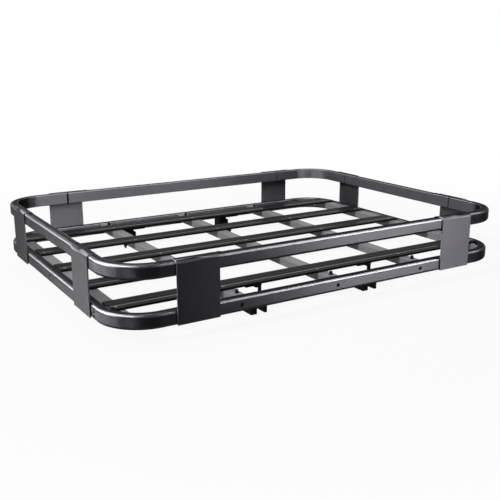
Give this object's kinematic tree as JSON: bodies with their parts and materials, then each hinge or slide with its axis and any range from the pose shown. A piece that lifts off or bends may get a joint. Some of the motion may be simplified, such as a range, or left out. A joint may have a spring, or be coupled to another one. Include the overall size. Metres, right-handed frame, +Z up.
{
  "type": "roof basket",
  "caption": "Open roof basket with two rounded rail loops joined by flat side plates, a slatted floor on crossbars and small mounting feet",
  "frame": {"origin": "centre of the footprint, on the level the mounting feet stand on", "axes": "+X along the long side, +Y towards the back, +Z up"},
  "size_m": [1.408, 1.068, 0.216],
  "materials": {
    "rail_coating": "satin",
    "slat_coating": "satin",
    "bare_aluminium": "satin",
    "black_bracket": "matte"
  },
  "bodies": {
    "root": {"bottom_corner_back_left": "rail_coating", "bottom_corner_back_right": "rail_coating", "bottom_corner_front_left": "rail_coating", "bottom_corner_front_right": "rail_coating", "bottom_rail_back": "rail_coating", "bottom_rail_front": "rail_coating", "bottom_rail_left": "rail_coating", "bottom_rail_right": "rail_coating", "crossbar_1": "bare_aluminium", "crossbar_2": "bare_aluminium", "crossbar_3": "bare_aluminium", "crossbar_4": "bare_aluminium", "crossbar_5": "bare_aluminium", "floor_slat_1": "slat_coating", "floor_slat_2": "slat_coating", "floor_slat_3": "slat_coating", "floor_slat_4": "slat_coating", "floor_slat_5": "slat_coating", "mounting_foot_back_left": "black_bracket", "mounting_foot_back_right": "black_bracket", "mounting_foot_front_left": "black_bracket", "mounting_foot_front_right": "black_bracket", "plate_back_left": "rail_coating", "plate_back_right": "rail_coating", "plate_front_left": "rail_coating", "plate_front_right": "rail_coating", "plate_left_back": "rail_coating", "plate_left_front": "rail_coating", "plate_right_back": "rail_coating", "plate_right_front": "rail_coating", "top_corner_back_left": "rail_coating", "top_corner_back_right": "rail_coating", "top_corner_front_left": "rail_coating", "top_corner_front_right": "rail_coating", "top_rail_back": "rail_coating", "top_rail_front": "rail_coating", "top_rail_left": "rail_coating", "top_rail_right": "rail_coating"}
  },
  "joints": []
}
